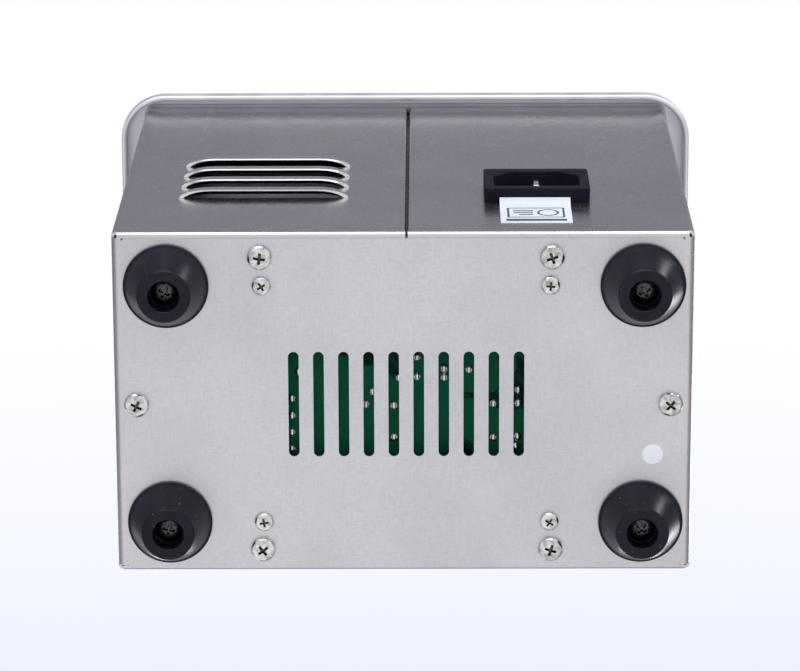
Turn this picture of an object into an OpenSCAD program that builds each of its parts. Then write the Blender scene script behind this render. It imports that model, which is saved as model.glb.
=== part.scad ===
// Benchtop ultrasonic cleaner: a folded steel casing under a deep-drawn tank, with its
// generator board, transducer, control panel, mains inlet, basket and lid.
// Millimetres. +Z is up, the front faces -Y, and z = 0 is the surface under the feet.

/* [Casing] */
// Width of the casing across its side walls
body_w = 162; // [160:1:174]
// Depth of the casing from the front wall to the back wall
body_d = 99; // [97:0.5:104]
// Height from the base plate's underside to the tank's rim
body_h = 158; // [156:1:176]
// Thickness of the sheet steel
sheet = 0.8; // [0.6:0.1:0.9]
// Place of the back seam along X
seam_x = -1; // [-6:0.5:6]

/* [Feet] */
// Height of a rubber foot
foot_h = 12; // [11:0.5:16]
// Radius of a foot where it meets the base plate
foot_base_r = 11.9; // [11:0.1:13]
// Radius of a foot's flat end
foot_end_r = 7.6; // [7:0.1:9]
// Distance from the centre of the part to a foot, along X
foot_x = 66.3; // [64:0.1:67]
// Distance from the centre of the part to a foot, along Y
foot_y = 34.5; // [33:0.1:35]

/* [Base plate] */
// Number of vent slots
slot_count = 10; // [4:1:10]
// Width of a vent slot
slot_w = 3; // [2:0.1:3.6]
// Length of a vent slot, with its round ends
slot_len = 30.6; // [20:0.2:34]
// Spacing of the vent slots
slot_pitch = 7; // [6:0.1:7.2]

/* [Louvres] */
// Number of louvres in the back wall
louvre_count = 4; // [1:1:6]
// Length of a louvre from end to end
louvre_w = 48.5; // [30:0.5:60]
// How far a louvre's lip stands out
louvre_rise = 2.5; // [1.5:0.1:3]
// Spacing of the louvres
louvre_pitch = 12.5; // [11:0.5:14]

/* [Tank] */
// Inside length of the tank
tank_w = 150; // [148:1:151]
// Inside width of the tank
tank_d = 85; // [84:1:86]
// Depth of the tank below its rim
tank_depth = 65; // [62:1:68]
// Width of the rim over its rolled edge
rim_w = 177.5; // [176:0.5:190]
// Depth of the rim over its rolled edge
rim_d = 108; // [107:0.5:120]

/* [Travel] */
// Stroke of a push button
button_stroke = 0.8; // [0.3:0.1:1]
// Tilt of the rocker from level, each way
rocker_tilt = 7; // [4:0.5:7]

/* [Hidden] */

eps = 0.01;
// Levels and faces of the casing
base_z = foot_h;
wrap_z = base_z + sheet;
rim_z = base_z + body_h;
seal_t = 1;
wrap_top = rim_z - seal_t;
rim_top = rim_z + sheet;
front_y = -body_d / 2;
back_y = body_d / 2;
side_x = body_w / 2;
corner_r = 1.6;
end_bend_r = 1.6;
side_bend_r = 2.8;
end_flange = 10;
side_flange = 11;
seam_gap = 0.7;
seam_r = 1;
seam_return = 4;
seam_weld = 2.2;

// Hole pattern of the base plate, pressed a little off the centre line
pattern_x = -0.8;
long_screw_x = 40.6;
long_screw_y = back_y - 6.85;
side_screw_x = side_x - 6.3;
board_x = 40.2;
board_y = 34.5;
long_head_r = 3.5;
board_head_r = 2.7;
spacer_h = 5;
board_t = 1.6;
board_z = wrap_z + spacer_h;
board_top = board_z + board_t;
board_w = 89;
board_d = 78;

// Louvres, inlet and label on the back wall
louvre_x = 40;
louvre_z = base_z + 39.8;
louvre_l = 9;
louvre_lip = 0.4;
inlet_x = -38.1;
inlet_z = base_z + 46;
inlet_w = 30.1;
inlet_h = 24.5;
inlet_proud = 4;
inlet_body_w = 27;
inlet_body_h = 19.6;
inlet_depth = 22;
socket_w = 24.5;
socket_h = 16.5;
socket_deep = 16;
pin_gap = 14;
pin_shift = 2;
label_x = -37.4;
label_w = 20.1;
label_low = base_z + 10.4;
label_t = 0.2;
label_curl = 1.9;

// Rim, tank wall and floor
rim_r = 14;
roll_r = 3;
lip_z = rim_z - 5.7;
tank_r = 18;
tank_floor_r = 10;
tank_top_r = 3;
tank_cx = tank_w / 2 - tank_r;
tank_cy = tank_d / 2 - tank_r;
tank_floor = rim_top - tank_depth;
floor_under = tank_floor - sheet;

// Transducer stack, from the tank's floor down
bond_t = 0.4;
front_mass_h = 26.6;
ring_h = 5;
plate_h = 0.3;
back_mass_h = 14;
stack_r = 19;
horn_r = 22.5;
stack_bolt_r = 5;
stack_top = floor_under - bond_t;
ring_top = stack_top - front_mass_h;
ring_pitch = ring_h + plate_h;
stack_low = ring_top - 2 * ring_pitch - plate_h;

// Control panel on the front wall
fascia_w = 112;
fascia_h = 58;
fascia_t = 2;
fascia_z = base_z + 54;
window_x = -20;
window_z = fascia_z + 9;
window_w = 48;
window_h = 20;
button_z = fascia_z - 15;
button_pitch = 18;
button_r = 4.8;
boss_len = 10;
boss_r = 3;
boss_dx = 30;
boss_dz = 22;
control_x = -18;
control_w = 68;
control_h = 52;
control_y = front_y + boss_len;
rocker_x = 34;
rocker_z = fascia_z;
rocker_axis_y = front_y + 1;
rocker_half = 7.9;
rocker_body_w = 13.2;
rocker_body_h = 19.2;
rocker_depth = 14;

// Basket and lid
basket_w = 136;
basket_d = 72;
basket_r = 14;
basket_low = tank_floor + 4.2;
basket_high = basket_low + 42;
basket_wire = 1.3;
lid_z = rim_top + 0.2;
lid_cx = 65;
lid_cy = 30.5;
lid_brim = 19.5;
lid_wall = 12.5;
lid_h = 9;
lid_skirt = 4;

// Routes of the leads inside the casing: inlet tabs, switch tabs, board plugs and earth stud
tab_y = back_y - inlet_depth - 8;
switch_y = front_y + rocker_depth + 8;
plug_z = board_top + 9;
line_route = [
    [inlet_x + 7, tab_y, inlet_z - 2], [-31, 8, 58], [-29, -8, 54], [-22, -20, 53], [0, -25, 52],
    [20, -24, 54], [33, -14, 62], [rocker_x, -20, rocker_z + 5], [rocker_x, switch_y, rocker_z + 5]
];
switched_route = [
    [rocker_x, switch_y, rocker_z - 5], [rocker_x, -19, rocker_z - 6], [28, -14, 52], [20, -25, 49],
    [0, -26, 48.5], [-26, -22, 48.5], [-38, -4, 47], [-38.5, 7, 41], [-38, 10, 35], [-38, 10, plug_z]
];
neutral_route = [
    [inlet_x - 7, tab_y, inlet_z - 2], [-45, 11, 57], [-42, 9, 48], [-35, 9, 40], [-34, 10, 34],
    [-34, 10, plug_z]
];
earth_route = [
    [inlet_x, tab_y, inlet_z + 2], [-39, 11, 67], [-50, 10, 67], [-60, 20, 68], [-63, 34, 66],
    [-62, 43, 60], [-62, back_y - 3.6, 52]
];
hot_route = [
    [-22, -33, plug_z], [-22, -33, 36], [-20, -34, 50], [-10, -34, 62], [-5, -32, 70],
    [-4, -26, ring_top - 0.15 - ring_pitch]
];
cold_route = [
    [-18, -33, plug_z], [-18, -33, 36], [-14, -34, 46], [-2, -34, 56], [3, -32, 68],
    [4, -26, ring_top - 0.15]
];

// ---------------------------------------------------------------- shared shapes

function arc(cx, cy, r, from, to, n = 8) =
    [for (i = [0:n]) let (a = from + (to - from) * i / n) [cx + r * cos(a), cy + r * sin(a)]];

// Rectangle with round corners, drawn about its centre
module rounded_rect(w, d, r) {
    square([w - 2 * r, d], center = true);
    square([w, d - 2 * r], center = true);
    for (x = [-1, 1], y = [-1, 1])
        translate([x * (w / 2 - r), y * (d / 2 - r)]) circle(r, $fn = 48);
}

// Upright panel that grows from y = 0 towards -Y
module front_panel(w, h, r, t) {
    rotate([90, 0, 0]) linear_extrude(t) rounded_rect(w, h, r);
}

// Box given by its lowest and highest corners
module block(low, high) {
    translate(low) cube(high - low);
}

// Quarter of a ring, from its left end round to its lower end
module quarter_ring(r, t) {
    intersection() {
        difference() {
            circle(r, $fn = 48);
            circle(r - t, $fn = 48);
        }
        translate([0, -r - 1]) square(r + 1);
    }
}

// Runs a profile of (distance out, height) round a rounded rectangle whose corner centres
// are cx and cy from the middle
module sweep_round(cx, cy) {
    for (i = [0:3]) {
        sx = i == 0 || i == 3 ? 1 : -1;
        sy = i < 2 ? 1 : -1;
        translate([sx * cx, sy * cy, 0]) rotate([0, 0, 90 * i])
            rotate_extrude(angle = 90, $fn = 96) children();
    }
    for (a = [0, 180]) {
        rotate([0, 0, a]) translate([cx, cy, 0]) rotate([90, 0, 0]) linear_extrude(2 * cy) children();
        rotate([0, 0, a + 90]) translate([cy, cx, 0]) rotate([90, 0, 0]) linear_extrude(2 * cx)
            children();
    }
}

// Pan-head screw pointing up, with the underside of its head at z = 0
module pan_screw(head_r, head_h, shank_r, length, turn = 0) {
    difference() {
        union() {
            rotate_extrude($fn = 48)
                polygon(concat([[0, 0], [head_r, 0]],
                    [for (a = [0:15:90]) [head_r * cos(a), -head_h * (0.35 + 0.65 * sin(a))]]));
            cylinder(r = shank_r, h = length, $fn = 32);
        }
        for (a = [0, 90]) rotate([0, 0, turn + a])
            translate([-head_r * 0.55, -head_r * 0.13, -head_h - eps])
                cube([head_r * 1.1, head_r * 0.26, head_h * 0.55]);
    }
}

module hex_nut(across, h, bore_r) {
    difference() {
        cylinder(d = across / cos(30), h = h, $fn = 6);
        translate([0, 0, -1]) cylinder(r = bore_r, h = h + 2, $fn = 32);
    }
}

// Smooth line through the points of a route
function spline_at(p, k, t) =
    let (a = p[max(k - 1, 0)], b = p[k], c = p[k + 1], d = p[min(k + 2, len(p) - 1)])
    0.5 * (2 * b + (c - a) * t + (2 * a - 5 * b + 4 * c - d) * t * t
        + (3 * b - a - 3 * c + d) * t * t * t);
function spline(p, steps) = concat(
    [for (k = [0:len(p) - 2], i = [0:steps - 1]) spline_at(p, k, i / steps)], [p[len(p) - 1]]);
function unit(v) = v / norm(v);
// Cross-section direction carried along the line without twisting
function carry(n, t) = unit(n - t * (n * t));
function normals(line, i, n) =
    i >= len(line) ? [] :
    let (t = unit(line[min(i + 1, len(line) - 1)] - line[max(i - 1, 0)]), m = carry(n, t))
    concat([m], normals(line, i + 1, m));

// Round insulated wire that follows a route
module wire(route, r, steps = 3, sides = 8) {
    line = spline(route, steps);
    n = len(line);
    tangent = [for (i = [0:n - 1]) unit(line[min(i + 1, n - 1)] - line[max(i - 1, 0)])];
    across = normals(line, 0, [1, 0.2, 0.1]);
    points = [for (i = [0:n - 1], j = [0:sides - 1])
        let (a = 360 * j / sides)
        line[i] + r * (cos(a) * across[i] + sin(a) * cross(tangent[i], across[i]))];
    skin = [for (i = [0:n - 2], j = [0:sides - 1])
        [i * sides + j, (i + 1) * sides + j, (i + 1) * sides + (j + 1) % sides,
            i * sides + (j + 1) % sides]];
    ends = [[for (j = [0:sides - 1]) j], [for (j = [sides - 1:-1:0]) (n - 1) * sides + j]];
    polyhedron(points, concat(skin, ends));
}

// ---------------------------------------------------------------- casing

// Outline of a louvre's sheet: (distance from the slit, height off the wall)
louvre_outline = concat(
    [for (a = [0:15:90]) [louvre_l * cos(a), louvre_rise * sin(a)]],
    [for (a = [90:-15:0]) [(louvre_l - sheet) * cos(a),
        louvre_rise * sin(a) - sheet + (sheet - louvre_lip) * pow(sin(a), 2)]],
    [[louvre_l, -sheet]]);

// Lanced louvre, open along its lower edge, with the slit's middle at the origin
module louvre() {
    run = louvre_w / 2 - louvre_l;
    translate([-run, 0, 0]) rotate([90, 0, 90]) linear_extrude(2 * run)
        polygon([for (p = louvre_outline) [p[1], p[0]]]);
    translate([run, 0, 0]) rotate([-90, 0, 0]) rotate([0, 0, -90])
        rotate_extrude(angle = 90, $fn = 96) polygon(louvre_outline);
    translate([-run, 0, 0]) rotate([-90, 0, 0]) rotate([0, 0, 180])
        rotate_extrude(angle = 90, $fn = 96) polygon(louvre_outline);
}

// Opening that a louvre leaves in the wall behind it
module louvre_window() {
    run = louvre_w / 2 - louvre_l;
    reach = louvre_l - 0.2;
    rotate([90, 0, 0]) linear_extrude(2 * sheet + 2) intersection() {
        union() {
            translate([-run, 0]) square([2 * run, reach]);
            for (x = [-run, run]) translate([x, 0]) circle(reach, $fn = 96);
        }
        translate([-louvre_w, 0]) square([2 * louvre_w, louvre_l + 1]);
    }
}

// Bend and turned-in flange along one lower edge: the wall's outer face is at x = 0
module lower_fold(length, r, top) {
    translate([0, length / 2, 0]) rotate([90, 0, 0]) linear_extrude(length) {
        translate([-r, r]) quarter_ring(r, sheet);
        translate([-sheet, r]) square([sheet, top - r]);
    }
}

// Casing's side, front and back walls, as a plain tube
module wall_tube() {
    translate([0, 0, wrap_z + end_bend_r]) linear_extrude(wrap_top - wrap_z - end_bend_r)
        difference() {
            rounded_rect(body_w, body_d, corner_r);
            rounded_rect(body_w - 2 * sheet, body_d - 2 * sheet, corner_r - sheet);
        }
}

// Edge of the wrap at the back seam, turned inwards; the seam is on its +X side
module seam_edge(low) {
    translate([0, 0, low]) linear_extrude(wrap_top - low) {
        translate([-seam_gap / 2 - seam_r, -seam_r]) rotate([0, 0, 90]) quarter_ring(seam_r, sheet);
        translate([-seam_gap / 2 - sheet, -seam_return]) square([sheet, seam_return - seam_r]);
    }
}

// Openings in the front wall for the display, the buttons, the bosses and the rocker
module front_openings() {
    translate([window_x, front_y + sheet + 1, window_z])
        front_panel(window_w + 4, window_h + 4, 1, sheet + 2);
    for (i = [-1:1]) translate([window_x + i * button_pitch, front_y + sheet + 1, button_z])
        rotate([90, 0, 0]) cylinder(r = button_r + 1.6, h = sheet + 2, $fn = 48);
    for (x = [-1, 1], z = [-1, 1])
        translate([control_x + x * boss_dx, front_y + sheet + 1, fascia_z + z * boss_dz])
            rotate([90, 0, 0]) cylinder(r = boss_r + 0.3, h = sheet + 2, $fn = 48);
    translate([rocker_x, front_y + sheet + 1, rocker_z])
        front_panel(rocker_body_w + 0.4, rocker_body_h + 0.4, 0.5, sheet + 2);
}

module casing_wrap() color([0.70, 0.69, 0.71]) {
    side_top = side_bend_r + 0.4;
    end_len = body_w - 2 * corner_r;
    side_len = body_d - 2 * corner_r;
    seam_cut = seam_gap + 2 * seam_r;
    difference() {
        wall_tube();
        for (s = [-1, 1])
            translate([s * side_x - 2, -side_len / 2, wrap_z]) cube([4, side_len, side_top]);
        translate([seam_x - seam_cut / 2, back_y - 2, wrap_z]) cube([seam_cut, 4, body_h]);
        for (i = [0:louvre_count - 1])
            translate([louvre_x, back_y + 1, louvre_z + i * louvre_pitch]) louvre_window();
        translate([inlet_x, back_y + 1, inlet_z])
            front_panel(inlet_body_w + 0.5, inlet_body_h + 0.4, 0.5, sheet + 2);
        front_openings();
    }
    // Turned-in lower edges, which carry the base plate's screws
    for (a = [0, 180]) rotate([0, 0, a]) translate([side_x, 0, wrap_z])
        lower_fold(side_len, side_bend_r, side_top);
    rotate([0, 0, -90]) translate([back_y, 0, wrap_z]) lower_fold(end_len, end_bend_r, end_bend_r + eps);
    difference() {
        rotate([0, 0, 90]) translate([back_y, 0, wrap_z])
            lower_fold(end_len, end_bend_r, end_bend_r + eps);
        translate([seam_x - seam_gap / 2, back_y - 4, wrap_z - 1]) cube([seam_gap, 8, 6]);
    }
    difference() {
        union() {
            for (s = [-1, 1]) {
                reach = side_x - side_bend_r - 1.2;
                flange_y = s > 0 ? back_y - end_flange : front_y + end_bend_r;
                block([-reach, flange_y, wrap_z], [reach, flange_y + end_flange - end_bend_r, wrap_z + sheet]);
                flange_x = s > 0 ? side_x - side_flange : -side_x + side_bend_r;
                block([flange_x, -foot_y, wrap_z],
                    [flange_x + side_flange - side_bend_r, foot_y, wrap_z + sheet]);
            }
        }
        for (p = base_screw_places) translate([p[0], p[1], wrap_z - 1]) cylinder(r = 1.7, h = 4, $fn = 32);
        for (x = [-1, 1], y = [-1, 1]) translate([x * foot_x + pattern_x / 2, y * foot_y, wrap_z - 1])
            cylinder(r = 5, h = 4, $fn = 32);
    }
    // Back seam: both edges turned in and welded to each other behind the gap
    translate([seam_x, back_y, 0]) {
        seam_edge(wrap_z + end_bend_r);
        mirror([1, 0, 0]) seam_edge(wrap_z + end_bend_r);
        block([-seam_gap / 2, -seam_return, wrap_z + end_bend_r], [seam_gap / 2, -seam_weld, wrap_top]);
    }
    for (i = [0:louvre_count - 1])
        translate([louvre_x, back_y, louvre_z + i * louvre_pitch]) louvre();
}

base_screw_places = concat(
    [for (x = [-1, 1], y = [-1, 1]) [x * long_screw_x + pattern_x, y * long_screw_y]],
    [for (x = [-1, 1]) [x * side_screw_x, 0]]);
board_screw_places = [for (x = [-1, 1], y = [-1, 1]) [x * board_x + pattern_x, y * board_y]];
foot_places = [for (x = [-1, 1], y = [-1, 1]) [x * foot_x + pattern_x / 2, y * foot_y]];

module base_plate() color([0.76, 0.76, 0.78]) translate([0, 0, base_z]) linear_extrude(sheet)
    difference() {
        rounded_rect(body_w - 2 * side_bend_r, body_d - 2 * end_bend_r, 1);
        for (i = [0:slot_count - 1])
            translate([pattern_x + (i - (slot_count - 1) / 2) * slot_pitch, 0]) {
                square([slot_w, slot_len - slot_w], center = true);
                for (y = [-1, 1]) translate([0, y * (slot_len - slot_w) / 2]) circle(slot_w / 2, $fn = 32);
            }
        for (p = base_screw_places) translate(p) circle(2.1, $fn = 32);
        for (p = board_screw_places) translate(p) circle(1.8, $fn = 32);
        for (p = foot_places) translate(p) circle(2.2, $fn = 32);
    }

// Conical rubber foot with a stepped hole for its screw
module foot(i) color([0.09, 0.09, 0.11]) translate([foot_places[i][0], foot_places[i][1], 0])
    rotate_extrude($fn = 96) polygon(concat(
        [[2.2, foot_h], [2.2, foot_h - 5.2], [3.9, foot_h - 5.2], [3.9, 5.4], [4.3, 5], [4.3, 0.5]],
        arc(4.8, 0.5, 0.5, 180, 270, 3),
        arc(foot_end_r - 1, 1, 1, 270, 335, 4),
        [[foot_base_r - 0.6, foot_h - 1.5]],
        [[foot_base_r, foot_h - 1.1], [foot_base_r, foot_h]]));

module foot_screws() color([0.72, 0.72, 0.74])
    for (i = [0:3]) translate([foot_places[i][0], foot_places[i][1], foot_h - 5.2])
        pan_screw(3.7, 2.2, 1.9, 10.2, 20 + 35 * i);
module foot_nuts() color([0.78, 0.78, 0.8])
    for (p = foot_places) translate([p[0], p[1], wrap_z]) hex_nut(7, 3.2, 1.95);
module base_screws() color([0.82, 0.82, 0.84])
    for (i = [0:5]) translate([base_screw_places[i][0], base_screw_places[i][1], base_z])
        pan_screw(long_head_r, 2.2, 1.65, 6, 25 * i);
module board_screws() color([0.82, 0.82, 0.84])
    for (i = [0:3]) translate([board_screw_places[i][0], board_screw_places[i][1], base_z])
        pan_screw(board_head_r, 1.8, 1.45, 10.6, 15 + 30 * i);
module board_spacers() color([0.82, 0.68, 0.34])
    for (p = board_screw_places) translate([p[0], p[1], wrap_z]) difference() {
        cylinder(r = 3, h = spacer_h, $fn = 32);
        translate([0, 0, -1]) cylinder(r = 1.6, h = spacer_h + 2, $fn = 32);
    }
module board_nuts() color([0.78, 0.78, 0.8])
    for (p = board_screw_places) translate([p[0], p[1], board_top]) hex_nut(5.5, 2.4, 1.5);

// ---------------------------------------------------------------- generator board

module power_board() color([0.05, 0.30, 0.18]) translate([0, 0, board_z]) linear_extrude(board_t)
    difference() {
        translate([pattern_x, 0]) rounded_rect(board_w, board_d, 1);
        for (p = board_screw_places) translate(p) circle(1.6, $fn = 32);
    }

// Ferrite core of the output transformer: two E halves round the winding's middle leg
module transformer_core() color([0.22, 0.22, 0.24]) translate([-24, -12, board_top]) difference() {
    block([-16, -7, 3], [16, 7, 24]);
    for (x = [-1, 1]) translate([x * 8.5 - 3.5, -8, 7]) cube([7, 16, 13]);
}

// Copper winding in its plastic bobbin, standing on the board's pins
module transformer_winding() color([0.76, 0.42, 0.20]) translate([-24, -12, board_top]) difference() {
    union() {
        block([-11.8, -12, 7.2], [11.8, 12, 19.8]);
        for (s = [-1, 1]) block([-13, s * 11 - 2, 0], [13, s * 11 + 2, 7.2]);
    }
    block([-5.1, -7.1, 6], [5.1, 7.1, 21]);
}

module tuning_inductor() color([0.80, 0.62, 0.18]) translate([24, -22, board_top]) difference() {
    union() {
        cylinder(r = 9.5, h = 2, $fn = 64);
        cylinder(r = 7.5, h = 16, $fn = 64);
        translate([0, 0, 14]) cylinder(r = 9.5, h = 2, $fn = 64);
    }
    translate([0, 0, 12]) cylinder(r = 2, h = 5, $fn = 32);
}

module bulk_capacitor() color([0.12, 0.16, 0.30]) translate([33, 18, board_top])
    rotate_extrude($fn = 64) polygon([[0, 0], [7.6, 0], [8, 0.5], [8, 1.6], [7.6, 2], [7.6, 2.6], [8, 3],
        [8, 24.4], [7.4, 25], [0, 25]]);

module film_capacitors() color([0.72, 0.16, 0.12]) for (y = [-5, 5]) translate([9, y, board_top])
    linear_extrude(13) rounded_rect(18, 7, 1.2);

// Finned extrusion that the transistors are screwed against
module heat_sink() color([0.74, 0.75, 0.77]) translate([0, 26, board_top]) linear_extrude(25) {
    translate([-24, 0]) square([48, 2.5]);
    for (i = [0:6]) translate([-24 + i * 7.6, 2.4]) square([2.4, 7.6]);
}

module power_transistors() color([0.13, 0.13, 0.14]) for (x = [-13, 11]) translate([x, 26, board_top]) {
    block([-5, -1.3, 5], [5, 0, 21]);
    block([-5, -4.5, 5], [5, -1.3, 14]);
    for (i = [-1:1]) block([i * 2.5 - 0.4, -2.9, 0], [i * 2.5 + 0.4, -2.3, 5.2]);
}

module bridge_rectifier() color([0.14, 0.14, 0.15]) translate([31, -2, board_top]) {
    block([-8, -2, 2], [8, 2, 12]);
    for (i = [-1.5:1:1.5]) block([i * 3.8 - 0.5, -0.4, 0], [i * 3.8 + 0.5, 0.4, 2.1]);
}

module mains_fuse() color([0.85, 0.87, 0.88]) translate([-42, 22, board_top + 5])
    rotate([0, 90, 0]) union() {
        cylinder(r = 2.3, h = 20, $fn = 32);
        cylinder(r = 2.6, h = 5, $fn = 32);
        translate([0, 0, 15]) cylinder(r = 2.6, h = 5, $fn = 32);
    }
module fuse_clips() color([0.80, 0.78, 0.72]) for (x = [-40.5, -25.5]) translate([x, 22, board_top])
    difference() {
        block([-1.5, -3.4, 0], [3.5, 3.4, 6.5]);
        translate([-2, 0, 5]) rotate([0, 90, 0]) cylinder(r = 2.65, h = 7, $fn = 32);
        block([-2, -1.8, 5], [4, 1.8, 7]);
    }

module board_connectors() color([0.90, 0.89, 0.84]) translate([0, 0, board_top]) {
    block([-41, 6, 0], [-31, 14, 9]);
    block([-25, -36.5, 0], [-15, -29.5, 9]);
    block([-6, -38, 0], [6, -33, 7.6]);
}

// ---------------------------------------------------------------- mains inlet and back wall

// Outline of the socket's hollow: the two corners on the earth side are cut off
module socket_outline() {
    w = socket_w / 2;
    h = socket_h / 2;
    cut = 5;
    polygon([[-w, -h], [w, -h], [w, h - cut], [w - cut, h], [-w + cut, h], [-w, h - cut]]);
}

module inlet_socket() color([0.07, 0.07, 0.08]) translate([inlet_x, back_y, inlet_z]) difference() {
    union() {
        translate([0, inlet_proud, 0]) front_panel(inlet_w, inlet_h, 1.5, inlet_proud);
        front_panel(inlet_body_w, inlet_body_h, 1, inlet_depth);
        // Snap hooks that hold the socket behind the wall
        for (s = [-1, 1]) translate([s * inlet_body_w / 2, -sheet - 0.1, 0]) linear_extrude(8, center = true)
            polygon([[0, 0], [s * 1.3, 0], [0, -6]]);
    }
    translate([0, inlet_proud + eps, 0]) rotate([90, 0, 0]) linear_extrude(socket_deep + eps) socket_outline();
    for (p = pin_places) translate([p[0], -inlet_depth - 1, p[1]])
        block([-p[2] / 2 - 0.05, 0, -p[3] / 2 - 0.05], [p[2] / 2 + 0.05, 20, p[3] / 2 + 0.05]);
}
// Across, up, width, height and depth of the tip below the inlet's face, for each blade
pin_places = [
    [-pin_gap / 2, -pin_shift, 2, 4, 6], [pin_gap / 2, -pin_shift, 2, 4, 6], [0, pin_shift, 2, 4, 1.2]
];

module inlet_pins() color([0.82, 0.83, 0.85]) translate([inlet_x, back_y, inlet_z])
    for (p = pin_places) translate([p[0], 0, p[1]]) {
        block([-p[2] / 2, -inlet_depth, -p[3] / 2], [p[2] / 2, inlet_proud - p[4] - 1, p[3] / 2]);
        block([-p[2] / 2 + 0.3, inlet_proud - p[4] - 1.01, -p[3] / 2 + 0.4],
            [p[2] / 2 - 0.3, inlet_proud - p[4], p[3] / 2 - 0.4]);
        block([-0.4, -inlet_depth - 8, -2.4], [0.4, -inlet_depth, 2.4]);
    }

// Paper label whose top end curls up against the inlet
module rear_label() color([0.95, 0.95, 0.96]) {
    inlet_low = inlet_z - inlet_h / 2;
    block([label_x - label_w / 2, back_y, label_low], [label_x + label_w / 2, back_y + label_t, inlet_low]);
    block([label_x - label_w / 2, back_y, inlet_low - label_t],
        [label_x + label_w / 2, back_y + label_curl, inlet_low]);
}

module inspection_sticker() color([0.93, 0.94, 0.96]) translate([-69.9, -14.8, base_z - 0.15])
    cylinder(r = 2.9, h = 0.15, $fn = 48);

stud_place = [-62, back_y - sheet, 42];
module earth_stud() color([0.80, 0.79, 0.74]) translate(stud_place) rotate([90, 0, 0])
    cylinder(r = 1.9, h = 9, $fn = 32);
module earth_nut() color([0.78, 0.78, 0.8]) translate(stud_place + [0, -4, 0]) rotate([90, 0, 0])
    hex_nut(7, 3.2, 1.95);
// Ring terminal clamped on the stud, with its crimp barrel pointing up
module earth_terminal() color([0.83, 0.74, 0.50]) translate(stud_place) {
    rotate([90, 0, 0]) difference() {
        union() {
            translate([0, 0, 1]) cylinder(r = 4.4, h = 3, $fn = 48);
            translate([-1.8, 0, 1]) cube([3.6, 8, 3]);
        }
        cylinder(r = 2.1, h = 5, $fn = 32);
    }
}

// ---------------------------------------------------------------- tank and transducer

// Tank wall from the flat floor, up the wall and over the top bend
tank_outline = concat(
    [[tank_r - tank_floor_r, floor_under]],
    arc(tank_r - tank_floor_r, tank_floor + tank_floor_r, tank_floor_r + sheet, 270, 360),
    arc(tank_r + tank_top_r, rim_top - tank_top_r, tank_top_r - sheet, 180, 90, 5),
    [[tank_r + tank_top_r, rim_top]],
    arc(tank_r + tank_top_r, rim_top - tank_top_r, tank_top_r, 90, 180, 5),
    arc(tank_r - tank_floor_r, tank_floor + tank_floor_r, tank_floor_r, 360, 270));
// Rolled edge of the rim: over the bend, down the lip and round its hem
roll_outline = concat(
    [[rim_r - roll_r, rim_z]],
    arc(rim_r - roll_r, rim_top - roll_r, roll_r - sheet, 90, 0, 5),
    [[rim_r - sheet, lip_z + 2], [rim_r - 1.6, lip_z + 1.6], [rim_r - 1.6, lip_z + 0.8]],
    arc(rim_r - 0.8, lip_z + 0.8, 0.8, 180, 360, 6),
    arc(rim_r - roll_r, rim_top - roll_r, roll_r, 0, 90, 6));

// Deep-drawn tank and its overhanging rim, pressed from one sheet
module tank() color([0.80, 0.80, 0.83]) {
    sweep_round(tank_cx, tank_cy) polygon(tank_outline);
    sweep_round(rim_w / 2 - rim_r, rim_d / 2 - rim_r) polygon(roll_outline);
    flat = rim_r - roll_r;
    translate([0, 0, rim_z]) linear_extrude(sheet) difference() {
        rounded_rect(rim_w - 2 * roll_r, rim_d - 2 * roll_r, flat);
        rounded_rect(tank_w + 2 * tank_top_r, tank_d + 2 * tank_top_r, tank_r + tank_top_r);
    }
    floor_edge = tank_r - tank_floor_r;
    translate([0, 0, floor_under]) linear_extrude(sheet)
        rounded_rect(2 * (tank_cx + floor_edge), 2 * (tank_cy + floor_edge), floor_edge);
}

// Silicone bead between the rim and the top edge of the casing
module tank_seal() color([0.86, 0.86, 0.88]) translate([0, 0, wrap_top]) linear_extrude(seal_t)
    difference() {
        rounded_rect(body_w + 1.4, body_d + 1.4, 4);
        rounded_rect(body_w - 4, body_d - 4, 1);
    }

module transducer_bond() color([0.30, 0.30, 0.32]) translate([0, 0, stack_top]) cylinder(r = horn_r,
    h = bond_t, $fn = 96);
module transducer_front_mass() color([0.80, 0.81, 0.83]) difference() {
    rotate_extrude($fn = 96) polygon([[0, ring_top], [stack_r, ring_top], [stack_r, ring_top + 6],
        [horn_r, stack_top - 3], [horn_r, stack_top], [0, stack_top]]);
    translate([0, 0, ring_top - 1]) cylinder(r = stack_bolt_r + 0.05, h = 19, $fn = 48);
}
module piezo_rings() color([0.84, 0.82, 0.76]) for (i = [0, 1])
    translate([0, 0, ring_top - plate_h - ring_h - i * ring_pitch]) difference() {
        cylinder(r = stack_r, h = ring_h, $fn = 96);
        translate([0, 0, -1]) cylinder(r = 7.5, h = ring_h + 2, $fn = 48);
    }
// Electrode discs between the rings, each with a solder tag towards the front
module electrode_plates() color([0.85, 0.66, 0.35]) for (i = [0:2])
    translate([0, 0, ring_top - plate_h - i * ring_pitch]) difference() {
        union() {
            cylinder(r = stack_r, h = plate_h, $fn = 96);
            translate([(i == 1 ? -4 : 4) - 2, -26, 0]) cube([4, 10, plate_h]);
        }
        translate([0, 0, -1]) cylinder(r = 7.5, h = plate_h + 2, $fn = 48);
    }
module transducer_back_mass() color([0.62, 0.62, 0.64]) translate([0, 0, stack_low - back_mass_h])
    difference() {
        cylinder(r = stack_r, h = back_mass_h, $fn = 96);
        translate([0, 0, -1]) cylinder(r = stack_bolt_r + 0.3, h = back_mass_h + 2, $fn = 48);
    }
module transducer_bolt() color([0.30, 0.30, 0.32]) translate([0, 0, stack_low - back_mass_h]) {
    translate([0, 0, -6]) cylinder(d = 17 / cos(30), h = 6, $fn = 6);
    cylinder(r = stack_bolt_r, h = ring_top + 16 - stack_low + back_mass_h, $fn = 48);
}

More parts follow.
